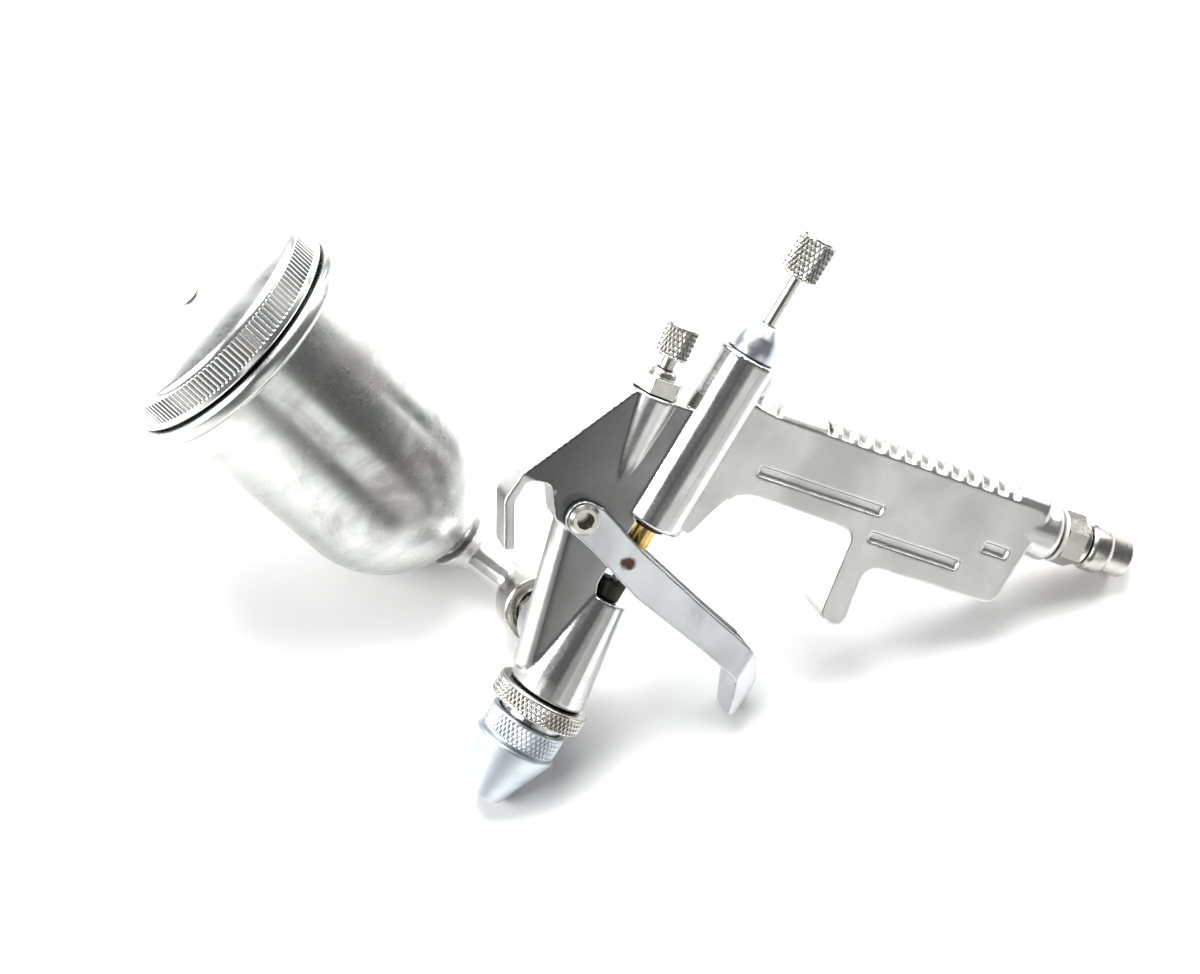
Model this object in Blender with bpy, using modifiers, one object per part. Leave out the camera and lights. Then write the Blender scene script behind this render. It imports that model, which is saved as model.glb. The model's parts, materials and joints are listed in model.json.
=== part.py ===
"""Side-cup HVLP spray gun, lying at rest on a table, as an assembly of separate pieces.

Every piece is modelled in the gun's own frame and parented to one empty, which lays the gun down.
Gun frame: origin at the centre of the nozzle's tip, +X to the rear along the barrel, +Y to the cup's
side, +Z up towards the hanging hook. All lengths are in metres.
"""

import math

import bmesh
import bpy
from mathutils import Euler, Quaternion, Vector

MM = 0.001
GAP = 0.3 * MM  # clearance between pieces that touch

# The resting attitude: heading, pitch and lean of the gun frame on the table.
REST_EULER_DEG = (-52.431, -29.991, 32.645)

# Barrel line, stations measured to the rear from the nozzle's tip.
CAP_BASE_X = 16.2 * MM
CAP_BASE_R = 10.9 * MM
CAP_TIP_R = 4.6 * MM
SKIRT_END_X = 23.2 * MM
SKIRT_R = 10.3 * MM
LOCK_RING_X = (25.4 * MM, 30.8 * MM)
LOCK_RING_R = 12.4 * MM
NOSE_R = 8.4 * MM
BARREL_FRONT_X = 31.1 * MM
BARREL_REAR_X = 60.0 * MM
BARREL_FRONT_R = 10.4 * MM
BARREL_REAR_R = 6.3 * MM
HOUSING_X = (82.0 * MM, 130.6 * MM)
HOUSING_R = 8.6 * MM
HOUSING_BORE_R = 5.8 * MM
KNOB_X = (152.9 * MM, 164.2 * MM)
KNOB_R = 4.9 * MM
NEEDLE_R = 1.1 * MM

# Cast web, hook and trigger pivot.
PLATE_T = 9.0 * MM
RIDGE_R = 4.5 * MM
PIVOT_X = 76.5 * MM
PIVOT_Z = 18.6 * MM
PIVOT_R = 2.0 * MM

# Trigger.
TRIGGER_SHEET = 1.5 * MM
TRIGGER_OUTER_Y = 6.9 * MM
TRIGGER_INNER_Y = TRIGGER_OUTER_Y - TRIGGER_SHEET

# Handle.
HANDLE_T = 14.0 * MM
HANDLE_LEAN = math.radians(8.4)
HANDLE_BACK_TOP = (122.4 * MM, -10.0 * MM)
RIB_COUNT = 12
RIB_PITCH = 4.6 * MM
RIB_HALF = 1.5 * MM
RIB_FIRST = 19.5 * MM
INLET_TOP = (125.2 * MM, -88.0 * MM)
INLET_BORE_R = 3.2 * MM

# Air control valve, on its own line above the housing.
AIR_AXIS_TILT = math.radians(7.0)
AIR_FACE = (111.4 * MM, 16.9 * MM)

# Fluid inlet on the side of the barrel, and the cup.
INLET_X = 45.0 * MM
INLET_Z = 4.5 * MM
CUP_OFFSET_Y = 45.0 * MM
NUT_END_Y = 30.6 * MM
CUP_LEAN = math.radians(15.0)
CUP_POLE = (46.8 * MM, 25.2 * MM)
CUP_WALL = 1.0 * MM
CUP_BOWL_R = 26.4 * MM
CUP_RIM_R = 27.8 * MM
CUP_BEAD_R = 34.0 * MM
CUP_BOWL_H = 26.4 * MM
CUP_BEAD_H = (77.5 * MM, 82.0 * MM)
CUP_RIM_H = 89.5 * MM
LID_EDGE_H = 82.7 * MM
LID_R = 32.2 * MM
LID_TOP_H = 96.0 * MM
NECK_R = 5.1 * MM

ROUND = 24
SMALL_ROUND = 12
CUP_ROUND = 40
HELPER_SPIN = math.radians(1.7)


# ---------------------------------------------------------------- scene and materials

for old in list(bpy.data.objects):
    bpy.data.objects.remove(old, do_unlink=True)


def new_collection(name, hidden=False):
    made = bpy.data.collections.new(name)
    bpy.context.scene.collection.children.link(made)
    made.hide_render = hidden
    return made


gun = new_collection("hvlp_spray_gun")
helpers = new_collection("cutters", hidden=True)

rig = bpy.data.objects.new("gun_frame", None)
gun.objects.link(rig)


def material(name, colour, roughness, metallic=1.0):
    made = bpy.data.materials.new(name)
    made.use_nodes = True
    shader = made.node_tree.nodes["Principled BSDF"]
    shader.inputs["Base Color"].default_value = (*colour, 1.0)
    shader.inputs["Roughness"].default_value = roughness
    shader.inputs["Metallic"].default_value = metallic
    made.diffuse_color = (*colour, 1.0)
    return made


CAST = material("cast_aluminium", (0.66, 0.67, 0.68), 0.38)
POLISHED = material("polished_aluminium", (0.78, 0.79, 0.78), 0.18)
NICKEL = material("nickel_plate", (0.62, 0.61, 0.58), 0.28)
ZINC = material("satin_plate", (0.72, 0.76, 0.80), 0.4)
STEEL = material("steel", (0.5, 0.5, 0.5), 0.3)
BRASS = material("brass", (0.78, 0.57, 0.20), 0.3)
BLACK = material("black_steel", (0.03, 0.03, 0.03), 0.5)
SEAL = material("seal_polymer", (0.85, 0.84, 0.80), 0.55, 0.0)
RUBBER = material("dark_rubber", (0.03, 0.03, 0.03), 0.7, 0.0)
TRIGGER_PLATE = material("trigger_plate", (0.74, 0.76, 0.78), 0.32)


# ---------------------------------------------------------------- shape helpers


def place(obj, at, toward):
    """Puts the object's origin at a point of the gun frame, its local Z along a direction."""
    obj.parent = rig
    obj.rotation_mode = "QUATERNION"
    obj.rotation_quaternion = Vector(toward).to_track_quat("Z", "Y")
    obj.location = at


def adopt(obj, mat, helper=False):
    """Links the object as a named piece of the gun, or as a hidden helper for a Boolean."""
    target = helpers if helper else gun
    for holder in list(obj.users_collection):
        holder.objects.unlink(obj)
    target.objects.link(obj)
    if helper:
        obj.hide_render = True
        obj.display_type = "WIRE"
    obj.data.materials.clear()
    obj.data.materials.append(mat)
    return obj


def shade(obj, angle=35.0):
    obj.data.shade_smooth()
    obj.data.set_sharp_from_angle(angle=math.radians(angle))


def lathe(name, outer, bore=None, at=(0, 0, 0), toward=(1, 0, 0), mat=STEEL, steps=ROUND, helper=False):
    """A turned piece. outer and bore list (station, radius), stations rising along the axis."""
    loop = [(radius, station) for station, radius in reversed(outer)]
    loop += [(radius, station) for station, radius in (bore or [])]
    mesh = bpy.data.meshes.new(name)
    edges = [(i, i + 1) for i in range(len(loop) - 1)]
    if bore:
        edges.append((len(loop) - 1, 0))
    mesh.from_pydata([(radius, 0.0, station) for radius, station in loop], edges, [])
    obj = adopt(bpy.data.objects.new(name, mesh), mat, helper)
    screw = obj.modifiers.new("turn", "SCREW")
    screw.steps = steps
    screw.render_steps = steps
    screw.use_merge_vertices = True
    screw.merge_threshold = 0.00002
    screw.use_smooth_shade = False
    place(obj, at, toward)
    if helper:
        # Turned a little about its own axis, so that its facets cross the facets it meets.
        obj.rotation_quaternion @= Quaternion((0, 0, 1), HELPER_SPIN * len(helpers.objects))
    return obj


def rod(name, start, end, radius, mat=STEEL, steps=SMALL_ROUND, helper=False):
    """A plain round bar between two points of the gun frame."""
    start, end = Vector(start), Vector(end)
    length = (end - start).length
    profile = [(0, 0), (0, radius), (length, radius), (length, 0)]
    return lathe(name, profile, None, start, end - start, mat, steps, helper)


def prism(name, sides, across_flats, length, at, toward, mat, helper=False):
    """A hexagon or other regular bar, from its near face along the axis."""
    mesh = bpy.data.meshes.new(name)
    shape = bmesh.new()
    radius = across_flats / 2 / math.cos(math.pi / sides)
    bmesh.ops.create_cone(
        shape,
        cap_ends=True,
        segments=sides,
        radius1=radius,
        radius2=radius,
        depth=length,
    )
    bmesh.ops.translate(shape, vec=(0, 0, length / 2), verts=shape.verts)
    shape.to_mesh(mesh)
    shape.free()
    obj = adopt(bpy.data.objects.new(name, mesh), mat, helper)
    place(obj, at, toward)
    return obj


def fillet(points, segments=4):
    """A closed outline whose corners (x, z, radius) are rounded by arcs."""
    made = []
    count = len(points)
    for i, (x, z, radius) in enumerate(points):
        here = Vector((x, z))
        if radius <= 0:
            made.append(here)
            continue
        before = (Vector(points[i - 1][:2]) - here).normalized()
        after = (Vector(points[(i + 1) % count][:2]) - here).normalized()
        half = before.angle(after) / 2
        reach = radius / math.tan(half)
        centre = here + (before + after).normalized() * (radius / math.sin(half))
        start = here + before * reach - centre
        sweep = start.angle_signed(here + after * reach - centre)
        for step in range(segments + 1):
            turn = -sweep * step / segments
            c, s = math.cos(turn), math.sin(turn)
            made.append(centre + Vector((start.x * c - start.y * s, start.x * s + start.y * c)))
    return made


def solid_from_curve(obj):
    """Turns a curve object into a welded mesh object in the same place."""
    bpy.context.view_layer.update()
    graph = bpy.context.evaluated_depsgraph_get()
    mesh = bpy.data.meshes.new_from_object(obj.evaluated_get(graph))
    welded = bmesh.new()
    welded.from_mesh(mesh)
    bmesh.ops.remove_doubles(welded, verts=welded.verts, dist=0.000001)
    bmesh.ops.recalc_face_normals(welded, faces=welded.faces)
    welded.to_mesh(mesh)
    welded.free()
    name = obj.name
    bpy.data.objects.remove(obj, do_unlink=True)
    mesh.name = name
    return bpy.data.objects.new(name, mesh)


def plate(name, points, thickness, y=0.0, bevel=0.0, mat=CAST, helper=False, segments=4):
    """A flat outline in the gun's XZ plane, thick along Y about the given y."""
    curve = bpy.data.curves.new(name, "CURVE")
    curve.dimensions = "2D"
    curve.fill_mode = "BOTH"
    curve.extrude = thickness / 2
    outline = fillet(points, segments)
    line = curve.splines.new("POLY")
    line.points.add(len(outline) - 1)
    for point, spot in zip(line.points, outline):
        point.co = (spot.x, spot.y, 0, 1)
    line.use_cyclic_u = True
    shape = bpy.data.objects.new(name, curve)
    bpy.context.scene.collection.objects.link(shape)
    obj = adopt(solid_from_curve(shape), mat, helper)
    obj.parent = rig
    obj.rotation_euler = (math.radians(90), 0, 0)
    obj.location = (0, y, 0)
    if bevel:
        edge = obj.modifiers.new("round", "BEVEL")
        edge.width = bevel
        edge.segments = 2
        edge.limit_method = "ANGLE"
        edge.angle_limit = math.radians(50)
    return obj


def pipe(name, path, radius, mat, helper=False, sides=SMALL_ROUND):
    """A round pipe along points of the gun frame, its ends capped."""
    curve = bpy.data.curves.new(name, "CURVE")
    curve.dimensions = "3D"
    curve.bevel_depth = radius
    curve.bevel_resolution = sides // 4 - 1
    curve.use_fill_caps = True
    line = curve.splines.new("POLY")
    line.points.add(len(path) - 1)
    for point, spot in zip(line.points, path):
        point.co = (*spot, 1)
    shape = bpy.data.objects.new(name, curve)
    bpy.context.scene.collection.objects.link(shape)
    obj = adopt(solid_from_curve(shape), mat, helper)
    obj.parent = rig
    return obj


def join(base, others, operation="UNION"):
    """Adds one exact Boolean for each helper to the base piece."""
    for other in others:
        cut = base.modifiers.new(other.name, "BOOLEAN")
        cut.operation = operation
        cut.solver = "EXACT"
        cut.object = other
    return base


def cut(base, others):
    return join(base, others, "DIFFERENCE")


def bezier(p0, p1, p2, p3, count):
    """Points of one cubic curve, ends included."""
    made = []
    for i in range(count + 1):
        t = i / count
        s = 1 - t
        made.append(
            Vector(p0) * s**3 + Vector(p1) * 3 * s * s * t + Vector(p2) * 3 * s * t * t + Vector(p3) * t**3,
        )
    return made


# ---------------------------------------------------------------- cast gun body


def front_barrel():
    """Tapered front barrel with the nose that the air cap and the lock ring screw onto."""
    return lathe(
        "front_barrel",
        [
            (12.5 * MM, NOSE_R - 0.6 * MM),
            (13.1 * MM, NOSE_R),
            (BARREL_FRONT_X, NOSE_R),
            (BARREL_FRONT_X, BARREL_FRONT_R - 0.6 * MM),
            (BARREL_FRONT_X + 0.9 * MM, BARREL_FRONT_R),
            (BARREL_REAR_X, BARREL_REAR_R),
        ],
        [
            (12.5 * MM, 5.6 * MM),
            (25.0 * MM, 5.6 * MM),
            (25.0 * MM, 1.8 * MM),
            (BARREL_REAR_X, 1.8 * MM),
        ],
        mat=CAST,
    )


def web_and_hook():
    """The flat web over the trigger window, with the hanging hook running forward off its top."""
    outline = [
        (37.0, 3.0, 0),
        (38.5, 8.3, 0),
        (71.5, 17.9, 0),
        (72.5, 24.0, 1.5),
        (79.8, 29.6, 2.0),
        (78.2, 35.2, 2.0),
        (72.0, 35.4, 2.5),
        (61.3, 29.0, 0.5),
        (59.9, 31.3, 0.5),
        (71.4, 38.2, 3.5),
        (79.0, 37.6, 3.0),
        (110.4, 23.2, 0.8),
        (113.2, 2.0, 0),
        (86.0, 2.0, 0),
        (86.0, 5.0, 0),
        (63.0, 5.0, 0),
        (58.0, 3.0, 0),
    ]
    scaled = [(x * MM, z * MM, r * MM) for x, z, r in outline]
    return plate("web", scaled, PLATE_T, bevel=0.6 * MM, helper=True)


def ridge():
    """Half-round front edge of the web, from the lock ring up to the trigger pivot."""
    return lathe(
        "ridge",
        [(0, 0), (0, 3.0 * MM), (1.5 * MM, RIDGE_R), (40.5 * MM, RIDGE_R), (40.5 * MM, 0)],
        at=(34.5 * MM, 0, 7.2 * MM),
        toward=(38.0, 0, 11.0),
        steps=20,
        helper=True,
    )


def air_axis(distance):
    """A point on the air control valve's line, measured to the rear from the cast face."""
    x, z = AIR_FACE
    return (x + distance * math.cos(AIR_AXIS_TILT), 0, z + distance * math.sin(AIR_AXIS_TILT))


def air_boss():
    return lathe(
        "air_boss",
        [(0, 0), (0, 3.4 * MM), (36.4 * MM, 6.7 * MM), (37 * MM, 6.2 * MM), (37 * MM, 0)],
        at=air_axis(-37 * MM),
        toward=(math.cos(AIR_AXIS_TILT), 0, math.sin(AIR_AXIS_TILT)),
        steps=24,
        helper=True,
    )


def rear_housing():
    front, rear = HOUSING_X
    return lathe(
        "rear_housing",
        [
            (front, 0),
            (front, HOUSING_R - 0.8 * MM),
            (front + 0.8 * MM, HOUSING_R),
            (rear - 0.5 * MM, HOUSING_R),
            (rear, HOUSING_R - 0.5 * MM),
            (rear, 0),
        ],
        steps=24,
        helper=True,
    )


def handle_core():
    """Handle with the finger spur, its back edge leaning to the rear."""
    outline = [
        (84.6, -3.0, 0),
        (84.6, -8.2, 1.5),
        (100.3, -12.5, 10.0),
        (104.6, -46.6, 3.0),
        (81.3, -50.6, 2.6),
        (80.0, -58.6, 2.8),
        (98.3, -54.6, 4.0),
        (104.2, -91.8, 3.0),
        (132.6, -91.8, 3.0),
        (121.2, -12.0, 0),
        (121.2, -3.0, 0),
    ]
    scaled = [(x * MM, z * MM, r * MM) for x, z, r in outline]
    return plate("handle_core", scaled, HANDLE_T, bevel=1.6 * MM, helper=True, segments=4)


def handle_point(along, out=0.0):
    """A point on the handle's back line: along runs down the handle, out is rearward of it."""
    x, z = HANDLE_BACK_TOP
    c, s = math.cos(HANDLE_LEAN), math.sin(HANDLE_LEAN)
    return (x + along * s + out * c, 0, z - along * c + out * s)


def handle_ribs():
    """Rounded ribs across the back of the handle, and the smooth swell above them."""
    made = []
    bands = [(2.0 * MM, RIB_FIRST - 2.5 * MM)]
    bands += [
        (RIB_FIRST + i * RIB_PITCH - RIB_HALF, RIB_FIRST + i * RIB_PITCH + RIB_HALF)
        for i in range(RIB_COUNT)
    ]
    bands.append((RIB_FIRST + (RIB_COUNT - 0.5) * RIB_PITCH, 83.0 * MM))
    for number, (top, bottom) in enumerate(bands):
        mesh = bpy.data.meshes.new("rib")
        shape = bmesh.new()
        bmesh.ops.create_cube(shape, size=1.0)
        depth = 9.0 * MM
        bmesh.ops.scale(shape, vec=(depth, HANDLE_T - 0.1 * MM, bottom - top), verts=shape.verts)
        upright = [
            e
            for e in shape.edges
            if all(v.co.x > 0 for v in e.verts) and abs(e.verts[0].co.z - e.verts[1].co.z) > 1e-6
        ]
        bmesh.ops.bevel(shape, geom=upright, offset=4.3 * MM, segments=3, profile=0.5, affect="EDGES")
        flat = [
            e
            for e in shape.edges
            if abs(e.verts[0].co.z - e.verts[1].co.z) < 1e-6
            and max(v.co.x for v in e.verts) > -depth / 2 + 1e-6
        ]
        bmesh.ops.bevel(shape, geom=flat, offset=0.9 * MM, segments=1, profile=0.5, affect="EDGES")
        shape.to_mesh(mesh)
        shape.free()
        rib = adopt(bpy.data.objects.new(f"rib_{number}", mesh), CAST, helper=True)
        rib.parent = rig
        rib.rotation_euler = (0, -HANDLE_LEAN, 0)
        rib.location = handle_point((top + bottom) / 2, -depth / 2 + 1.3 * MM)
        made.append(rib)
    return made


def inlet_axis(distance):
    """A point on the air inlet's line, measured down from its top."""
    x, z = INLET_TOP
    return (x + distance * math.sin(HANDLE_LEAN), 0, z - distance * math.cos(HANDLE_LEAN))


INLET_DOWN = (math.sin(HANDLE_LEAN), 0, -math.cos(HANDLE_LEAN))


def inlet_boss():
    return lathe(
        "inlet_boss",
        [
            (0, 0),
            (0, 7.0 * MM),
            (9.0 * MM, 7.9 * MM),
            (10.4 * MM, 7.4 * MM),
            (11.2 * MM, 6.2 * MM),
            (11.2 * MM, 0),
        ],
        at=inlet_axis(0),
        toward=INLET_DOWN,
        steps=24,
        helper=True,
    )


def fluid_boss():
    return lathe(
        "fluid_boss",
        [(0, 0), (0, 8.2 * MM), (11.3 * MM, 8.2 * MM), (12.0 * MM, 7.5 * MM), (12.0 * MM, 0)],
        at=(INLET_X, 0, INLET_Z),
        toward=(0, 1, 0),
        steps=24,
        helper=True,
    )


def handle_slots():
    """Shallow recesses in both sides of the handle."""
    made = []
    places = [
        (107.2, -15.3, 112.4, -50.6, 2.6),
        (105.4, -51.1, 109.1, -77.0, 2.6),
        (116.5, -80.3, 117.6, -87.6, 2.6),
    ]
    for number, (x0, z0, x1, z1, width) in enumerate(places):
        for side in (-1, 1):
            start, end = Vector((x0 * MM, z0 * MM)), Vector((x1 * MM, z1 * MM))
            across = Vector((end - start).normalized().orthogonal()) * width / 2 * MM
            corners = [start + across, end + across, end - across, start - across]
            outline = [(c.x, c.y, 0.5 * MM) for c in corners]
            made.append(
                plate(
                    f"slot_{number}_{side + 1}",
                    outline,
                    2.0 * MM,
                    y=side * HANDLE_T / 2,
                    helper=True,
                    segments=3,
                )
            )
    return made


def body_bores():
    """Bores of the housing, the pivot, the air valve, the fluid inlet and the air passages."""
    front, rear = HOUSING_X
    tilt = (math.cos(AIR_AXIS_TILT), 0, math.sin(AIR_AXIS_TILT))
    return [
        lathe(
            "housing_bore",
            [
                (front - 2 * MM, 0),
                (front - 2 * MM, 4.9 * MM),
                (front + 5.0 * MM, 4.9 * MM),
                (front + 5.0 * MM, 3.3 * MM),
                (front + 9.0 * MM, 3.3 * MM),
                (front + 9.0 * MM, HOUSING_BORE_R),
                (rear + 2 * MM, HOUSING_BORE_R),
                (rear + 2 * MM, 0),
            ],
            helper=True,
            steps=26,
        ),
        rod(
            "pivot_bore",
            (PIVOT_X, -10 * MM, PIVOT_Z),
            (PIVOT_X, 10 * MM, PIVOT_Z),
            PIVOT_R + GAP,
            helper=True,
        ),
        lathe(
            "air_bore",
            [
                (0, 0),
                (0, 1.6 * MM),
                (8 * MM, 1.6 * MM),
                (8 * MM, 4.0 * MM),
                (20 * MM, 4.0 * MM),
                (20 * MM, 0),
            ],
            at=air_axis(-16 * MM),
            toward=tilt,
            steps=SMALL_ROUND,
            helper=True,
        ),
        rod("fluid_bore", (INLET_X, 0, INLET_Z), (INLET_X, 20 * MM, INLET_Z), 4.2 * MM, helper=True),
        rod(
            "fluid_drilling",
            (INLET_X, 2 * MM, INLET_Z),
            (INLET_X - 1.5 * MM, 0, 0),
            1.6 * MM,
            helper=True,
            steps=12,
        ),
        rod("inlet_thread_bore", inlet_axis(2 * MM), inlet_axis(16 * MM), 5.0 * MM, helper=True),
        rod("air_riser", inlet_axis(4 * MM), inlet_axis(-86 * MM), INLET_BORE_R, helper=True, steps=16),
    ]


def gun_body():
    body = front_barrel()
    join(
        body,
        [
            web_and_hook(),
            ridge(),
            air_boss(),
            rear_housing(),
            handle_core(),
            *handle_ribs(),
            inlet_boss(),
            fluid_boss(),
        ],
    )
    cut(
        body,
        [
            lathe(
                "barrel_clearance",
                [
                    (24.0 * MM, 0),
                    (24.0 * MM, 2.2 * MM),
                    (52.0 * MM, 2.2 * MM),
                    (52.0 * MM, 3.3 * MM),
                    (66.0 * MM, 3.3 * MM),
                    (66.0 * MM, 0),
                ],
                helper=True,
                steps=20,
            ),
            *body_bores(),
            *handle_slots(),
        ],
    )
    body.name = "gun_body"
    return body


# ---------------------------------------------------------------- spray head


def spray_head():
    lathe(
        "air_cap",
        [
            (0.0, CAP_TIP_R - 0.9 * MM),
            (0.25 * MM, CAP_TIP_R - 0.25 * MM),
            (0.9 * MM, CAP_TIP_R),
            (CAP_BASE_X - 0.5 * MM, CAP_BASE_R),
            (CAP_BASE_X, CAP_BASE_R - 0.1 * MM),
            (CAP_BASE_X + 0.3 * MM, SKIRT_R - 0.5 * MM),
            (CAP_BASE_X + 0.7 * MM, SKIRT_R - 0.5 * MM),
            (CAP_BASE_X + 0.9 * MM, SKIRT_R),
            (SKIRT_END_X - 0.3 * MM, SKIRT_R),
            (SKIRT_END_X, SKIRT_R - 0.3 * MM),
        ],
        [
            (0.0, 2.1 * MM),
            (1.6 * MM, 2.1 * MM),
            (4.0 * MM, 4.2 * MM),
            (11.5 * MM, 7.4 * MM),
            (11.5 * MM, NOSE_R + GAP),
            (SKIRT_END_X, NOSE_R + GAP),
        ],
        mat=ZINC,
        steps=24,
    )
    start, end = LOCK_RING_X
    lathe(
        "lock_ring",
        [
            (start, LOCK_RING_R - 0.4 * MM),
            (start + 0.4 * MM, LOCK_RING_R),
            (end - 0.4 * MM, LOCK_RING_R),
            (end, LOCK_RING_R - 0.4 * MM),
        ],
        [(start, NOSE_R + GAP), (end, NOSE_R + GAP)],
        mat=NICKEL,
        steps=24,
    )
    lathe(
        "fluid_nozzle",
        [
            (0.6 * MM, 1.5 * MM),
            (3.4 * MM, 1.9 * MM),
            (5.0 * MM, 3.2 * MM),
            (8.6 * MM, 5.0 * MM),
            (11.0 * MM, 5.0 * MM),
            (12.1 * MM, 5.0 * MM),
            (12.1 * MM, 5.25 * MM),
            (20.0 * MM, 5.25 * MM),
        ],
        [(0.6 * MM, 0.8 * MM), (2.6 * MM, 0.8 * MM), (6.0 * MM, 1.9 * MM), (20.0 * MM, 1.9 * MM)],
        mat=STEEL,
        steps=24,
    )
    lathe(
        "nozzle_gasket",
        [(20.3 * MM, 5.2 * MM), (21.8 * MM, 5.2 * MM)],
        [(20.3 * MM, 2.1 * MM), (21.8 * MM, 2.1 * MM)],
        mat=SEAL,
        steps=20,
    )


# ---------------------------------------------------------------- needle and air valve line


def needle_line():
    lathe(
        "needle",
        [
            (1.2 * MM, 0),
            (1.3 * MM, 0.25 * MM),
            (6.0 * MM, NEEDLE_R),
            (112.0 * MM, NEEDLE_R),
            (112.0 * MM, 0),
        ],
        mat=STEEL,
        steps=16,
    )
    lathe(
        "needle_packing",
        [(52.4 * MM, 3.0 * MM), (55.6 * MM, 3.0 * MM)],
        [(52.4 * MM, NEEDLE_R + 0.05 * MM), (55.6 * MM, NEEDLE_R + 0.05 * MM)],
        mat=SEAL,
        steps=16,
    )
    lathe(
        "packing_screw",
        [
            (55.9 * MM, 3.0 * MM),
            (BARREL_REAR_X + 0.3 * MM, 3.0 * MM),
            (BARREL_REAR_X + 0.3 * MM, 3.7 * MM),
            (64.4 * MM, 3.7 * MM),
            (64.8 * MM, 3.3 * MM),
        ],
        [(55.9 * MM, NEEDLE_R + GAP), (64.8 * MM, NEEDLE_R + GAP)],
        mat=BLACK,
        steps=20,
    )
    lathe(
        "air_valve_stem",
        [
            (74.6 * MM, 2.7 * MM),
            (75.0 * MM, 3.0 * MM),
            (92.6 * MM, 3.0 * MM),
            (92.6 * MM, 4.9 * MM),
            (94.2 * MM, 4.9 * MM),
            (94.2 * MM, 3.0 * MM),
            (99.0 * MM, 3.0 * MM),
        ],
        [(74.6 * MM, NEEDLE_R + GAP), (99.0 * MM, NEEDLE_R + GAP)],
        mat=BRASS,
        steps=20,
    )
    lathe(
        "air_valve_gland",
        [(80.6 * MM, 4.3 * MM), (81.0 * MM, 4.6 * MM), (86.7 * MM, 4.6 * MM)],
        [(80.6 * MM, 3.0 * MM + GAP), (86.7 * MM, 3.0 * MM + GAP)],
        mat=BLACK,
        steps=20,
    )
    lathe(
        "air_valve_seal",
        [(91.3 * MM, 5.3 * MM), (92.3 * MM, 5.3 * MM)],
        [(91.3 * MM, 3.0 * MM + GAP), (92.3 * MM, 3.0 * MM + GAP)],
        mat=RUBBER,
        steps=20,
    )
    lathe(
        "needle_collar",
        [
            (99.5 * MM, 3.6 * MM),
            (99.9 * MM, 4.0 * MM),
            (104.0 * MM, 4.0 * MM),
            (104.0 * MM, 5.2 * MM),
            (105.6 * MM, 5.2 * MM),
        ],
        [(99.5 * MM, NEEDLE_R + GAP), (105.6 * MM, NEEDLE_R + GAP)],
        mat=BRASS,
        steps=20,
    )
    spring_coil("needle_spring", 106.2 * MM, 127.6 * MM, 4.3 * MM, 0.45 * MM, 6)
    lathe(
        "rear_guide",
        [
            (120.0 * MM, 3.4 * MM),
            (128.0 * MM, 3.4 * MM),
            (128.0 * MM, HOUSING_BORE_R - GAP),
            (HOUSING_X[1] + GAP, HOUSING_BORE_R - GAP),
            (HOUSING_X[1] + GAP, 6.3 * MM),
            (133.6 * MM, 6.1 * MM),
            (136.2 * MM, 5.2 * MM),
            (138.4 * MM, 3.6 * MM),
            (139.4 * MM, 2.5 * MM),
        ],
        [(120.0 * MM, 2.1 * MM), (139.4 * MM, 2.1 * MM)],
        mat=ZINC,
        steps=24,
    )
    start, end = KNOB_X
    lathe(
        "fluid_knob",
        [
            (118.4 * MM, 0),
            (118.4 * MM, 1.5 * MM),
            (118.8 * MM, 1.8 * MM),
            (start, 1.8 * MM),
            (start, KNOB_R - 0.4 * MM),
            (start + 0.4 * MM, KNOB_R),
            (end - 0.4 * MM, KNOB_R),
            (end, KNOB_R - 0.4 * MM),
            (end, 0),
        ],
        mat=NICKEL,
        steps=24,
    )


def hang(name, point, pieces):
    """An empty on a joint's axis, with the pieces that move on that joint hung from it."""
    joint = bpy.data.objects.new(name, None)
    gun.objects.link(joint)
    joint.parent = rig
    joint.location = point
    for piece in pieces:
        piece.parent = joint
        piece.location = Vector(piece.location) - Vector(point)


def spring_coil(name, start, end, coil_r, wire_r, turns):
    """An open coil spring around the barrel line."""
    per_turn = 10
    path = []
    for i in range(turns * per_turn + 1):
        t = i / (turns * per_turn)
        angle = 2 * math.pi * turns * t
        path.append(
            (
                start + wire_r + (end - start - 2 * wire_r) * t,
                coil_r * math.cos(angle),
                coil_r * math.sin(angle),
            ),
        )
    curve = bpy.data.curves.new(name, "CURVE")
    curve.dimensions = "3D"
    curve.bevel_depth = wire_r
    curve.bevel_resolution = 1
    curve.use_fill_caps = True
    line = curve.splines.new("POLY")
    line.points.add(len(path) - 1)
    for point, spot in zip(line.points, path):
        point.co = (*spot, 1)
    shape = bpy.data.objects.new(name, curve)
    bpy.context.scene.collection.objects.link(shape)
    coil = adopt(solid_from_curve(shape), STEEL)
    coil.parent = rig
    return coil


# ---------------------------------------------------------------- air control valve


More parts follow.
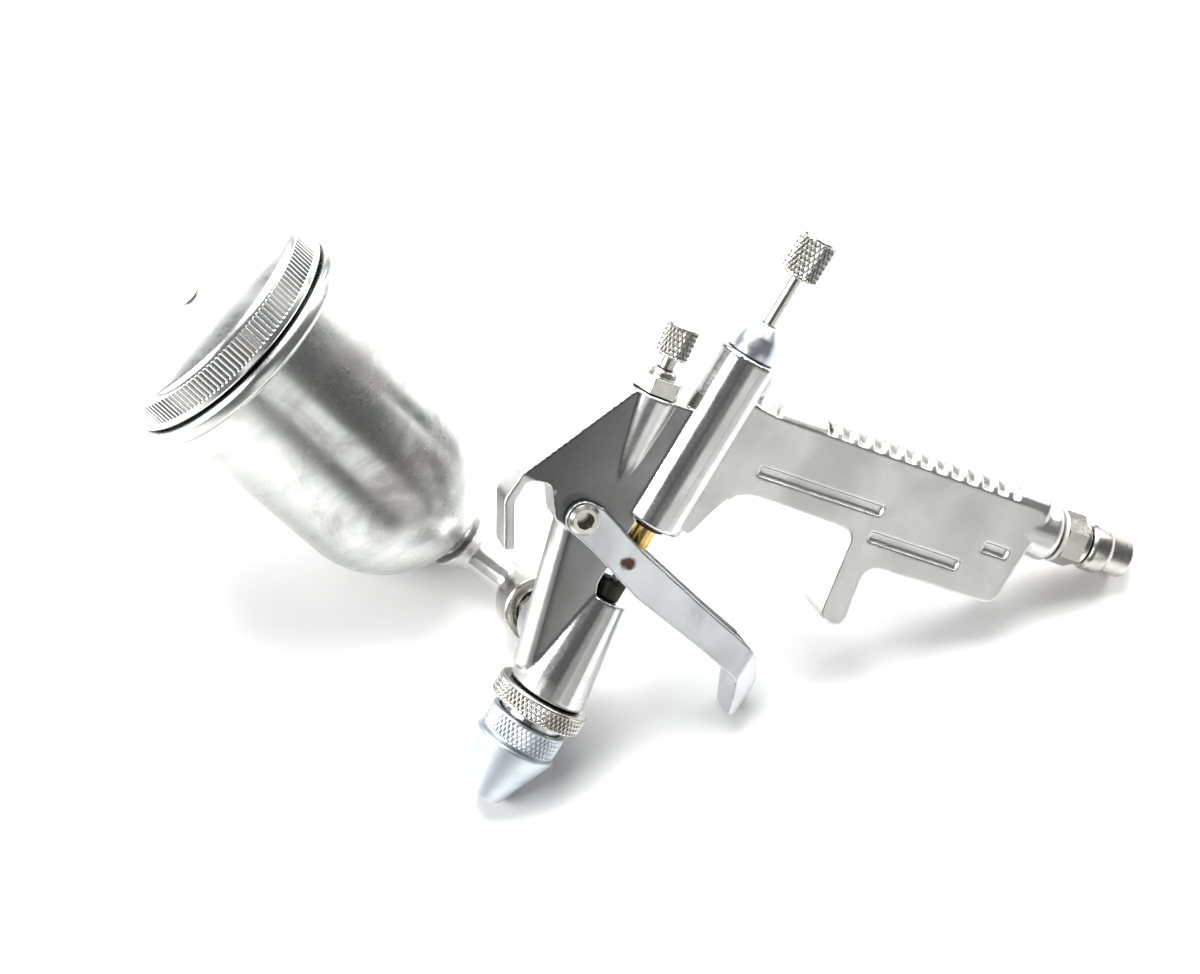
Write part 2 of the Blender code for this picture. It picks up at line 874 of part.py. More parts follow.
def air_control():
    tilt = (math.cos(AIR_AXIS_TILT), 0, math.sin(AIR_AXIS_TILT))
    bush = prism("air_control_bush", 6, 11.3 * MM, 4.2 * MM, air_axis(GAP), tilt, NICKEL)
    spigot = lathe(
        "bush_spigot",
        [(0, 0), (0, 3.7 * MM), (7.0 * MM, 3.7 * MM), (7.0 * MM, 0)],
        at=air_axis(-6.0 * MM),
        toward=tilt,
        steps=SMALL_ROUND,
        helper=True,
    )
    neck = lathe(
        "bush_neck",
        [(0, 0), (0, 3.6 * MM), (2.2 * MM, 3.6 * MM), (3.0 * MM, 2.9 * MM), (3.0 * MM, 0)],
        at=air_axis(3.4 * MM),
        toward=tilt,
        steps=SMALL_ROUND,
        helper=True,
    )
    join(bush, [spigot, neck])
    cut(bush, [rod("bush_bore", air_axis(-7 * MM), air_axis(8 * MM), 2.3 * MM, helper=True)])
    lathe(
        "air_control_knob",
        [
            (-13.5 * MM, 0),
            (-11.5 * MM, 1.2 * MM),
            (-7.6 * MM, 1.2 * MM),
            (-7.0 * MM, 2.0 * MM),
            (9.6 * MM, 2.0 * MM),
            (9.6 * MM, 3.8 * MM),
            (10.0 * MM, 4.2 * MM),
            (17.8 * MM, 4.2 * MM),
            (18.2 * MM, 3.8 * MM),
            (18.2 * MM, 0),
        ],
        at=air_axis(0),
        toward=tilt,
        mat=NICKEL,
        steps=24,
    )


# ---------------------------------------------------------------- trigger


TRIGGER_OUTLINE = [
    (80.9, 22.4, 4.3),
    (80.9, 15.0, 3.0),
    (76.0, 1.0, 8.0),
    (69.4, -24.5, 8.0),
    (65.6, -41.0, 9.0),
    (57.0, -48.2, 5.0),
    (48.6, -48.4, 1.2),
    (47.2, -44.6, 1.0),
    (57.0, -40.4, 4.0),
    (60.0, -27.0, 8.0),
    (64.2, -5.0, 8.0),
    (70.2, 12.5, 3.0),
    (72.8, 23.2, 4.0),
]


def tongue(name):
    """The trigger's outline from the front, narrowing to a rounded tip: across Y, up Z."""
    wide = TRIGGER_OUTER_Y + 0.4 * MM
    top, shoulder, tip = 40.0 * MM, -33.0 * MM, -48.2 * MM
    outline = [(wide, top, 0)]
    for i in range(15):
        angle = math.pi * i / 14
        outline.append((wide * math.cos(angle), shoulder + (tip - shoulder) * math.sin(angle) ** 0.8, 0))
    outline.append((-wide, top, 0))
    front = plate(name, outline, 90 * MM, helper=True)
    front.rotation_euler = (math.radians(90), 0, math.radians(90))
    front.location = (70 * MM, 0, 0)
    return front


def trigger():
    """A pressed channel: two side walls, closed in front below the barrel, with a folded tip."""
    scaled = [(x * MM, z * MM, r * MM) for x, z, r in TRIGGER_OUTLINE]
    shell = plate("trigger", scaled, 2 * TRIGGER_OUTER_Y, mat=TRIGGER_PLATE, segments=4)
    hollow = [
        (95.0, 40.0, 0),
        (95.0, -20.0, 0),
        (72.0, -36.5, 0),
        (62.6, -41.6, 4.0),
        (57.6, -41.6, 2.0),
        (59.6, -37.0, 4.0),
        (61.9, -26.5, 8.0),
        (65.4, -8.0, 2.0),
        (60.0, -6.5, 0),
        (60.0, 40.0, 0),
    ]
    inner = plate(
        "trigger_hollow",
        [(x * MM, z * MM, r * MM) for x, z, r in hollow],
        2 * TRIGGER_INNER_Y,
        helper=True,
        segments=5,
    )
    tip = tongue("trigger_tip")
    pivot = rod(
        "trigger_pivot_bore",
        (PIVOT_X, -12 * MM, PIVOT_Z),
        (PIVOT_X, 12 * MM, PIVOT_Z),
        2.6 * MM + GAP,
        helper=True,
    )
    join(shell, [tip], "INTERSECT")
    cut(shell, [inner, pivot])
    roller = rod(
        "trigger_roller",
        (72.0 * MM, -TRIGGER_INNER_Y + GAP, -3.4 * MM),
        (72.0 * MM, TRIGGER_INNER_Y - GAP, -3.4 * MM),
        1.9 * MM,
        mat=STEEL,
    )
    hang("trigger_axis", (PIVOT_X, 0, PIVOT_Z), [shell, roller])


def pivot_parts():
    """Screw with a cupped head on the near side, nut on the cup side."""
    head = 8.3 * MM
    lathe(
        "pivot_screw",
        [
            (-9.0 * MM, 0),
            (-9.0 * MM, PIVOT_R),
            (5.0 * MM, PIVOT_R),
            (TRIGGER_OUTER_Y - 2.0 * MM, PIVOT_R),
            (TRIGGER_OUTER_Y - 2.0 * MM, 2.6 * MM),
            (TRIGGER_OUTER_Y + GAP, 2.6 * MM),
            (TRIGGER_OUTER_Y + GAP, 4.1 * MM),
            (head, 4.1 * MM),
            (head + 0.7 * MM, 3.2 * MM),
            (head + 0.7 * MM, 2.2 * MM),
            (head - 2.6 * MM, 1.8 * MM),
            (head - 2.6 * MM, 0),
        ],
        at=(PIVOT_X, 0, PIVOT_Z),
        toward=(0, -1, 0),
        mat=NICKEL,
        steps=24,
    )
    nut = prism(
        "pivot_nut",
        6,
        7.0 * MM,
        2.4 * MM,
        (PIVOT_X, TRIGGER_OUTER_Y + GAP, PIVOT_Z),
        (0, 1, 0),
        NICKEL,
    )
    cut(
        nut,
        [
            rod(
                "nut_bore",
                (PIVOT_X, 5 * MM, PIVOT_Z),
                (PIVOT_X, 12 * MM, PIVOT_Z),
                PIVOT_R + GAP,
                helper=True,
            ),
        ],
    )


# ---------------------------------------------------------------- air inlet


def air_inlet():
    adapter = prism("inlet_adapter", 6, 12.6 * MM, 5.6 * MM, inlet_axis(12.8 * MM), INLET_DOWN, NICKEL)
    adapter_thread = lathe(
        "adapter_thread",
        [(0, 0), (0, 4.7 * MM), (10.5 * MM, 4.7 * MM), (10.5 * MM, 0)],
        at=inlet_axis(3.0 * MM),
        toward=INLET_DOWN,
        steps=20,
        helper=True,
    )
    adapter_neck = lathe(
        "adapter_neck",
        [(0, 0), (0, 5.9 * MM), (2.4 * MM, 5.9 * MM), (3.0 * MM, 5.3 * MM), (3.0 * MM, 0)],
        at=inlet_axis(17.6 * MM),
        toward=INLET_DOWN,
        steps=24,
        helper=True,
    )
    join(adapter, [adapter_thread, adapter_neck])
    cut(adapter, [
        rod("adapter_bore", inlet_axis(0), inlet_axis(24 * MM), 2.4 * MM, helper=True, steps=16),
        rod("adapter_socket", inlet_axis(14.6 * MM), inlet_axis(24 * MM), 3.9 * MM, helper=True, steps=20),
    ])
    lathe(
        "inlet_seal",
        [(11.5 * MM, 7.0 * MM), (12.5 * MM, 7.0 * MM)],
        [(11.5 * MM, 5.0 * MM), (12.5 * MM, 5.0 * MM)],
        at=inlet_axis(0),
        toward=INLET_DOWN,
        mat=SEAL,
        steps=24,
    )
    lathe(
        "inlet_plug",
        [
            (15.0 * MM, 3.6 * MM),
            (20.9 * MM, 3.6 * MM),
            (20.9 * MM, 5.6 * MM),
            (21.9 * MM, 6.4 * MM),
            (26.0 * MM, 6.4 * MM),
            (27.0 * MM, 5.7 * MM),
            (33.0 * MM, 5.5 * MM),
            (33.6 * MM, 5.0 * MM),
        ],
        [(15.0 * MM, 2.4 * MM), (33.6 * MM, 2.4 * MM)],
        at=inlet_axis(0),
        toward=INLET_DOWN,
        mat=NICKEL,
        steps=24,
    )


# ---------------------------------------------------------------- fluid inlet and cup


CUP_UP = (math.sin(CUP_LEAN), 0, math.cos(CUP_LEAN))


def cup_axis(height):
    """A point on the cup's centre line, measured from the bottom of its bowl."""
    x, z = CUP_POLE
    return Vector((x + height * math.sin(CUP_LEAN), CUP_OFFSET_Y, z + height * math.cos(CUP_LEAN)))


def neck_path(start_y, end_height):
    """The neck's centre line: straight out of the union nut, then a bend up into the cup's outlet."""
    start = Vector((INLET_X, start_y, INLET_Z))
    bend = Vector((INLET_X, NUT_END_Y + 0.8 * MM, INLET_Z))
    end = cup_axis(0)
    bent = bezier(bend, bend + Vector((0, 3.5 * MM, 0)), end - Vector(CUP_UP) * 5 * MM, end, 8)
    return [start, *bent, cup_axis(end_height)]


def fluid_inlet():
    stud = prism(
        "fluid_stud",
        6,
        13.0 * MM,
        3.4 * MM,
        (INLET_X, 12.0 * MM + GAP, INLET_Z),
        (0, 1, 0),
        NICKEL,
    )
    shank = lathe(
        "stud_shank",
        [
            (0, 0),
            (0, 3.9 * MM),
            (11.4 * MM, 3.9 * MM),
            (11.4 * MM, 6.2 * MM),
            (19.6 * MM, 6.2 * MM),
            (20.2 * MM, 5.6 * MM),
            (20.2 * MM, 0),
        ],
        at=(INLET_X, 3.6 * MM, INLET_Z),
        toward=(0, 1, 0),
        steps=24,
        helper=True,
    )
    join(stud, [shank])
    cut(
        stud,
        [
            rod(
                "stud_bore",
                (INLET_X, 0, INLET_Z),
                (INLET_X, 30 * MM, INLET_Z),
                2.6 * MM,
                helper=True,
                steps=16,
            ),
        ],
    )
    lathe(
        "union_nut",
        [
            (18.2 * MM, 8.9 * MM),
            (18.8 * MM, 9.6 * MM),
            (26.0 * MM, 10.0 * MM),
            (29.4 * MM, 9.2 * MM),
            (NUT_END_Y, 7.2 * MM),
        ],
        [
            (18.2 * MM, 6.5 * MM),
            (28.6 * MM, 6.5 * MM),
            (28.6 * MM, NECK_R + GAP),
            (NUT_END_Y, NECK_R + GAP),
        ],
        at=(INLET_X, 0, INLET_Z),
        toward=(0, 1, 0),
        mat=NICKEL,
        steps=24,
    )
    lathe(
        "union_gasket",
        [(24.1 * MM, 5.8 * MM), (25.1 * MM, 5.8 * MM)],
        [(24.1 * MM, 2.8 * MM), (25.1 * MM, 2.8 * MM)],
        at=(INLET_X, 0, INLET_Z),
        toward=(0, 1, 0),
        mat=SEAL,
        steps=20,
    )
    collar = lathe(
        "neck_collar",
        [(25.4 * MM, 0), (25.4 * MM, 6.1 * MM), (28.2 * MM, 6.1 * MM), (28.2 * MM, 0)],
        at=(INLET_X, 0, INLET_Z),
        toward=(0, 1, 0),
        steps=24,
        helper=True,
    )
    neck = pipe("cup_neck", neck_path(26.0 * MM, 3.0 * MM), NECK_R, CAST, sides=20)
    shoulder = lathe(
        "neck_shoulder",
        [
            (-8.0 * MM, 0),
            (-8.0 * MM, NECK_R),
            (-4.6 * MM, 6.9 * MM),
            (-GAP - 1.1 * MM, 8.4 * MM),
            (-GAP - 0.6 * MM, 0),
        ],
        at=cup_axis(0),
        toward=CUP_UP,
        steps=24,
        helper=True,
    )
    join(neck, [collar, shoulder])
    cut(neck, [pipe("neck_bore", neck_path(20.0 * MM, 8.0 * MM), 2.8 * MM, CAST, helper=True, sides=12)])
    return neck


def cup():
    """Round-bottomed aluminium cup with a rolled bead under its screwed rim."""
    hole = NECK_R + GAP
    bottom, bead_top = CUP_BEAD_H
    outer = []
    start_angle = math.asin(hole / CUP_BOWL_R)
    for i in range(8):
        angle = start_angle + (math.pi / 2 - start_angle) * i / 7
        outer.append((CUP_BOWL_H - CUP_BOWL_R * math.cos(angle), CUP_BOWL_R * math.sin(angle)))
    outer += [
        (bottom - 1.6 * MM, CUP_RIM_R),
        (bottom - 0.4 * MM, CUP_RIM_R + 1.2 * MM),
        (bottom, CUP_BEAD_R - 1.0 * MM),
        (bottom + 1.0 * MM, CUP_BEAD_R),
        (bead_top - 1.0 * MM, CUP_BEAD_R),
        (bead_top, CUP_BEAD_R - 1.0 * MM),
        (bead_top, CUP_RIM_R + 1.5 * MM),
        (CUP_RIM_H, CUP_RIM_R + 1.5 * MM),
    ]
    inside_r = CUP_BOWL_R - CUP_WALL
    inner_angle = math.asin(hole / inside_r)
    inner = []
    for i in range(8):
        angle = inner_angle + (math.pi / 2 - inner_angle) * i / 7
        inner.append((CUP_BOWL_H - inside_r * math.cos(angle), inside_r * math.sin(angle)))
    inner += [(bottom, CUP_RIM_R - CUP_WALL), (CUP_RIM_H, CUP_RIM_R - CUP_WALL)]
    return lathe("cup_body", outer, inner, at=cup_axis(0), toward=CUP_UP, mat=POLISHED, steps=CUP_ROUND)


def lid():
    """Knurled screw lid with its gasket and a small vent insert."""
    top = LID_TOP_H
    cover = lathe(
        "cup_lid",
        [
            (LID_EDGE_H, LID_R - 0.5 * MM),
            (LID_EDGE_H + 0.5 * MM, LID_R),
            (top - 4.4 * MM, LID_R),
            (top - 3.2 * MM, LID_R - 1.0 * MM),
            (top - 0.8 * MM, LID_R - 9.0 * MM),
            (top, LID_R - 20.0 * MM),
            (top, 1.4 * MM + GAP),
        ],
        [
            (LID_EDGE_H, CUP_RIM_R + 1.5 * MM + GAP),
            (CUP_RIM_H + 1.6 * MM, CUP_RIM_R + 1.5 * MM + GAP),
            (CUP_RIM_H + 1.6 * MM, LID_R - 6.0 * MM),
            (top - 2.2 * MM, LID_R - 20.0 * MM),
            (top - 1.8 * MM, 1.4 * MM + GAP),
        ],
        at=cup_axis(0),
        toward=CUP_UP,
        mat=POLISHED,
        steps=CUP_ROUND,
    )
    gasket = lathe(
        "lid_gasket",
        [(CUP_RIM_H + GAP, CUP_RIM_R + 1.2 * MM), (CUP_RIM_H + 1.3 * MM, CUP_RIM_R + 1.2 * MM)],
        [(CUP_RIM_H + GAP, CUP_RIM_R - 1.4 * MM), (CUP_RIM_H + 1.3 * MM, CUP_RIM_R - 1.4 * MM)],
        at=cup_axis(0),
        toward=CUP_UP,
        mat=RUBBER,
        steps=24,
    )
    vent = lathe(
        "lid_vent",
        [
            (top - 4.0 * MM, 1.4 * MM),
            (top + GAP, 1.4 * MM),
            (top + GAP, 2.4 * MM),
            (top + 0.7 * MM, 2.2 * MM),
            (top + 0.9 * MM, 1.6 * MM),
        ],
        [(top - 4.0 * MM, 0.5 * MM), (top + 0.9 * MM, 0.5 * MM)],
        at=cup_axis(0),
        toward=CUP_UP,
        mat=SEAL,
        steps=16,
    )
    return cover, gasket, vent


# ---------------------------------------------------------------- assembly


def lay_down():
    """Turns the whole gun to its resting attitude, with its lowest point on the table at Z = 0."""
    rig.rotation_euler = Euler([math.radians(a) for a in REST_EULER_DEG])
    bpy.context.view_layer.update()
    graph = bpy.context.evaluated_depsgraph_get()
    low = Vector((math.inf,) * 3)
    high = Vector((-math.inf,) * 3)
    for obj in gun.objects:
        if obj.type != "MESH":
            continue
        evaluated = obj.evaluated_get(graph)
        mesh = evaluated.to_mesh()
        for vertex in mesh.vertices:
            spot = evaluated.matrix_world @ vertex.co
            low = Vector(map(min, low, spot))
            high = Vector(map(max, high, spot))
        evaluated.to_mesh_clear()
    rig.location = (-(low.x + high.x) / 2, -(low.y + high.y) / 2, -low.z)


gun_body()
spray_head()
needle_line()
air_control()
trigger()
pivot_parts()
air_inlet()
hang("cup_swivel_axis", (INLET_X, 0, INLET_Z), [fluid_inlet(), cup(), *lid()])
for piece in gun.objects:
    if piece.type == "MESH":
        shade(piece)
lay_down()
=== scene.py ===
"""Looks of the spray gun: finished surfaces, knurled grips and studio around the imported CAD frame."""

import json
import math
from collections import namedtuple

import bmesh
import bpy
from mathutils import Matrix, Vector

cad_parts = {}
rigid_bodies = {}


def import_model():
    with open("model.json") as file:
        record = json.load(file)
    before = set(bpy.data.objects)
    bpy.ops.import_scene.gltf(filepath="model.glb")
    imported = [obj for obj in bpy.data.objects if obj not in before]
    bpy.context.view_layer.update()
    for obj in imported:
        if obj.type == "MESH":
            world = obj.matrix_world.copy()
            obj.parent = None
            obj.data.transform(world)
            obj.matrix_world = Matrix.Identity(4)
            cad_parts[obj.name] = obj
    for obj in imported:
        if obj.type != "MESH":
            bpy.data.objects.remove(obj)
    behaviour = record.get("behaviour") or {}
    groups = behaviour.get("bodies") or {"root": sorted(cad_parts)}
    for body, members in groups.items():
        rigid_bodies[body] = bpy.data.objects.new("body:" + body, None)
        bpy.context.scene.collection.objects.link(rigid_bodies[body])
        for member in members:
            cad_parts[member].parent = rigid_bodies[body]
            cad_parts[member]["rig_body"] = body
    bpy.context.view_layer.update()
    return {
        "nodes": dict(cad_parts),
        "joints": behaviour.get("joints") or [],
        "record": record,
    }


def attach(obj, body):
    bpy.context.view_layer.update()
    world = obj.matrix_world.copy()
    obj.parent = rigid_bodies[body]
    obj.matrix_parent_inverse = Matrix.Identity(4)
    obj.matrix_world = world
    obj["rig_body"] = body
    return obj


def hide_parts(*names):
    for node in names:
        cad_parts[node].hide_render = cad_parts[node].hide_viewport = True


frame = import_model()

MM = 0.001


# ---------------------------------------------------------------- gun frame, from the joints


def joint(name):
    """The named joint, as the record states it."""
    return next(j for j in frame["joints"] if j["name"] == name)


# Station along the barrel at which the air cap's joint stands.
AIR_CAP_JOINT_X = 12.0 * MM
BARREL = Vector(joint("air_cap_turn")["axis"]).normalized()
SIDE = Vector(joint("cup_swivel")["axis"]).normalized()
UP = BARREL.cross(SIDE)
ORIGIN = Vector(joint("air_cap_turn")["pos_m"]) - BARREL * AIR_CAP_JOINT_X
GUN = Matrix.Translation(ORIGIN) @ Matrix((BARREL, SIDE, UP)).transposed().to_4x4()
CUP_UP = Vector(joint("lid_lift")["axis"]).normalized()
CUP_LEAN = math.radians(15.0)


def gun_point(x, y, z):
    """World place of a point given in the gun's own frame."""
    return GUN @ Vector((x, y, z))


def in_mm(*points):
    """(station, radius) points, given in millimetres."""
    return [(station * MM, radius * MM) for station, radius in points]


# Places in the gun's frame: x runs rearward along the barrel, y to the cup's side, z up to the hook.
CUP_BOTTOM = (46.8 * MM, 45.0 * MM, 25.2 * MM)
CUP_TOWARD = (math.sin(CUP_LEAN), 0, math.cos(CUP_LEAN))
AIR_TILT = math.radians(7.0)
HANDLE_LEAN = math.radians(8.4)
AIR_FACE = (111.4 * MM, 0, 16.9 * MM)
AIR_REAR = (math.cos(AIR_TILT), 0, math.sin(AIR_TILT))
INLET_TOP = (125.2 * MM, 0, -88.0 * MM)
INLET_DOWN = (math.sin(HANDLE_LEAN), 0, -math.cos(HANDLE_LEAN))
INLET_X = 45.0 * MM
INLET_Z = 4.5 * MM
HOOK_FROM_Z = 27.5 * MM
HOOK_TO_X = 79.0 * MM
TUBE_R = 9.6 * MM
TUBE_TO_X = 134.0 * MM
WEB_HALF_T = 5.0 * MM
SMUDGE_AT = (60.1 * MM, 18.7 * MM, 68.2 * MM)
STAIN_AT = (71.4 * MM, -7.0 * MM, 2.1 * MM)
LID_FROM = 83.0 * MM


# ---------------------------------------------------------------- surface materials

# painted shade for the corners and knurl grooves of turned parts
KNURL_CORNER_SHADE = (0.03, 0.028, 0.025)
# painted shade for the corners of the casting
CAST_CORNER_SHADE = (0.10, 0.095, 0.085)
# painted shade for the flat faces of the web
WEB_PAINTED_SHADE = (0.12, 0.12, 0.12)
RUBBED_EDGE = (0.90, 0.90, 0.89)
MACHINED_TUBE = (0.50, 0.50, 0.51)
CUP_FOG = (0.36, 0.34, 0.31)
# painted shade for the corners of the cup and lid
CUP_CORNER_SHADE = (0.08, 0.08, 0.075)
CLEAN_LID = (0.93, 0.935, 0.93)
BROWN_STAIN = (0.12, 0.05, 0.03)
# painted shade for the corners of the trigger
TRIGGER_CORNER_SHADE = (0.10, 0.10, 0.09)


class Nodes:
    """Short way to wire one material's node tree."""

    def __init__(self, name):
        self.material = bpy.data.materials.new(name)
        self.material.use_nodes = True
        self.tree = self.material.node_tree
        self.shader = self.tree.nodes["Principled BSDF"]
        coord = self.add("ShaderNodeTexCoord")
        self.place = coord.outputs["Object"]
        self.normal = coord.outputs["Normal"]

    def add(self, kind, links=None, **settings):
        node = self.tree.nodes.new(kind)
        for key, value in settings.items():
            setattr(node, key, value)
        for key, value in (links or {}).items():
            if isinstance(value, bpy.types.NodeSocket):
                self.tree.links.new(value, node.inputs[key])
            else:
                node.inputs[key].default_value = value
        return node

    def noise(self, scale, detail=3.0, roughness=0.55, vector=None, distortion=0.0):
        links = {
            "Vector": vector or self.place,
            "Scale": scale,
            "Detail": detail,
            "Roughness": roughness,
            "Distortion": distortion,
        }
        return self.add("ShaderNodeTexNoise", links).outputs["Fac"]

    def stretch(self, value, low, high, new_low=0.0, new_high=1.0, smooth=False):
        links = {"Value": value, "From Min": low, "From Max": high, "To Min": new_low, "To Max": new_high}
        kind = "SMOOTHSTEP" if smooth else "LINEAR"
        return self.add("ShaderNodeMapRange", links, interpolation_type=kind).outputs["Result"]

    def maths(self, operation, a, b=0.0, clamp=False):
        return self.add("ShaderNodeMath", {0: a, 1: b}, operation=operation, use_clamp=clamp).outputs[0]

    def times(self, a, b):
        return self.maths("MULTIPLY", a, b)

    def plus(self, a, b, clamp=False):
        return self.maths("ADD", a, b, clamp)

    def minus(self, a, b, clamp=False):
        return self.maths("SUBTRACT", a, b, clamp)

    def vector_maths(self, operation, a, b, output="Value"):
        return self.add("ShaderNodeVectorMath", {0: a, 1: b}, operation=operation).outputs[output]

    def from_point(self, point):
        """Distance from a point of the gun's frame."""
        return self.vector_maths("DISTANCE", self.place, tuple(gun_point(*point)))

    def along(self, axis, origin=ORIGIN):
        """Distance of each point from the origin along an axis."""
        away = self.vector_maths("SUBTRACT", self.place, tuple(origin), "Vector")
        return self.vector_maths("DOT_PRODUCT", away, tuple(axis))

    def line(self, x, y=0.0):
        """A vector that changes only with the values given."""
        return self.add("ShaderNodeCombineXYZ", {"X": x, "Y": y}).outputs["Vector"]

    def mix(self, amount, first, second):
        """Colour mix; first and second are colours or sockets."""
        node = self.add("ShaderNodeMix", data_type="RGBA")
        a, b = [socket for socket in node.inputs if socket.type == "RGBA"][:2]
        self._set(node.inputs["Factor"], amount)
        self._set(a, first)
        self._set(b, second)
        return next(socket for socket in node.outputs if socket.type == "RGBA")

    def _set(self, socket, value):
        if isinstance(value, bpy.types.NodeSocket):
            self.tree.links.new(value, socket)
        elif isinstance(value, (tuple, list)):
            socket.default_value = (*value, 1.0)[:4]
        else:
            socket.default_value = value

    def crevice(self, distance):
        """1 in a tight corner, 0 in the open: the mask that paints shade into corners."""
        shade = self.add("ShaderNodeAmbientOcclusion", {"Distance": distance}, samples=6).outputs["AO"]
        return self.stretch(shade, 0.85, 0.35, smooth=True)

    def bump(self, height, strength, distance, below=None):
        links = {"Height": height, "Strength": strength, "Distance": distance}
        if below is not None:
            links["Normal"] = below
        return self.add("ShaderNodeBump", links).outputs["Normal"]

    def finish(self, colour, roughness, normal, metallic=1.0):
        self._set(self.shader.inputs["Base Color"], colour)
        self._set(self.shader.inputs["Roughness"], roughness)
        self._set(self.shader.inputs["Metallic"], metallic)
        if normal is not None:
            self.tree.links.new(normal, self.shader.inputs["Normal"])
        return self.material


def turned_metal(name, colour, stain, roughness, smudge=0.35):
    """Machined metal: fine turning lines along the barrel, faint smudges, painted shade in the corners and
    knurl grooves.
    """
    n = Nodes(name)
    line = n.line(n.along(BARREL))
    fine = n.noise(2600.0, detail=2.0, vector=line)
    broad = n.noise(312.0, detail=3.0, vector=line)
    blotch = n.noise(70.0, detail=5.0, roughness=0.6, distortion=0.6)
    speck = n.noise(900.0, detail=2.0)
    base = n.mix(n.stretch(blotch, 0.42, 0.72, 0.0, smudge, smooth=True), colour, stain)
    base = n.mix(n.stretch(broad, 0.35, 0.75, 0.0, 0.25), base, stain)
    corner = n.crevice(0.6 * MM)
    # painted shade: occlusion darkens the corners and knurl grooves
    base = n.mix(n.times(corner, 0.9), base, KNURL_CORNER_SHADE)
    rough = n.stretch(blotch, 0.3, 0.75, roughness - 0.05, roughness + 0.12)
    rough = n.plus(rough, n.stretch(speck, 0.3, 0.7, -0.02, 0.04))
    rough = n.plus(rough, n.times(corner, 0.2), clamp=True)
    bumped = n.bump(fine, 0.25, 0.03 * MM, n.bump(speck, 0.08, 0.03 * MM))
    return n.finish(base, rough, bumped)


def cast_metal(name, colour, dark, roughness):
    """Tumbled casting: soft grain, painted shade on the flat web faces (darkest at the top), smoother tube,
    painted shade in corners, bright rubbed edges.
    """
    n = Nodes(name)
    grain = n.noise(1300.0, detail=4.0, roughness=0.6)
    pits = n.noise(420.0, detail=3.0)
    swell = n.noise(90.0, detail=3.0)
    blotch = n.noise(38.0, detail=5.0, distortion=0.8)
    sideways = n.maths("ABSOLUTE", n.along(SIDE))
    height = n.along(UP)
    station = n.along(BARREL)
    facing = n.maths("ABSOLUTE", n.vector_maths("DOT_PRODUCT", n.normal, tuple(SIDE)))

    flat = n.stretch(facing, 0.93, 0.985, smooth=True)
    thin = n.stretch(sideways, WEB_HALF_T + 0.2 * MM, WEB_HALF_T - 0.2 * MM, smooth=True)
    on_hook = n.times(
        n.stretch(height, HOOK_FROM_Z - 0.3 * MM, HOOK_FROM_Z + 0.3 * MM),
        n.stretch(station, HOOK_TO_X + 0.4 * MM, HOOK_TO_X - 0.4 * MM),
    )
    # painted shade: the flat web faces are darkened, most strongly towards the top
    depth = n.stretch(height, -2 * MM, 30 * MM, 0.62, 1.0)
    web_shade = n.times(n.times(n.times(flat, thin), depth), n.minus(1.0, on_hook))
    base = n.mix(n.stretch(blotch, 0.35, 0.75, 0.0, 0.45, smooth=True), colour, dark)
    base = n.mix(web_shade, base, WEB_PAINTED_SHADE)
    # painted shade: occlusion darkens the casting's inner corners
    base = n.mix(n.times(n.crevice(1.6 * MM), 0.65), base, CAST_CORNER_SHADE)

    pointed = n.add("ShaderNodeNewGeometry").outputs["Pointiness"]
    edge = n.stretch(pointed, 0.53, 0.60, 0.0, 0.6, smooth=True)
    base = n.mix(edge, base, RUBBED_EDGE)
    rough = n.stretch(blotch, 0.3, 0.75, roughness - 0.04, roughness + 0.10)
    rough = n.plus(rough, n.stretch(grain, 0.3, 0.7, -0.03, 0.05))
    rough = n.minus(rough, n.times(edge, 0.12), clamp=True)

    radial = n.plus(n.maths("POWER", sideways, 2.0), n.maths("POWER", height, 2.0))
    tube = n.stretch(n.maths("SQRT", radial), TUBE_R + 0.4 * MM, TUBE_R)
    tube = n.times(tube, n.stretch(facing, 0.985, 0.93, smooth=True))
    tube = n.times(tube, n.stretch(station, TUBE_TO_X + 0.5 * MM, TUBE_TO_X - 0.5 * MM))
    rough = n.minus(rough, n.times(tube, 0.15), clamp=True)
    base = n.mix(n.times(tube, 0.35), base, MACHINED_TUBE)
    quiet = n.minus(1.0, n.times(tube, 0.7))
    bumped = n.bump(swell, n.times(quiet, 0.45), 0.35 * MM)
    bumped = n.bump(pits, n.times(quiet, 0.22), 0.08 * MM, bumped)
    bumped = n.bump(grain, n.times(quiet, 0.22), 0.04 * MM, bumped)
    return n.finish(base, rough, bumped)


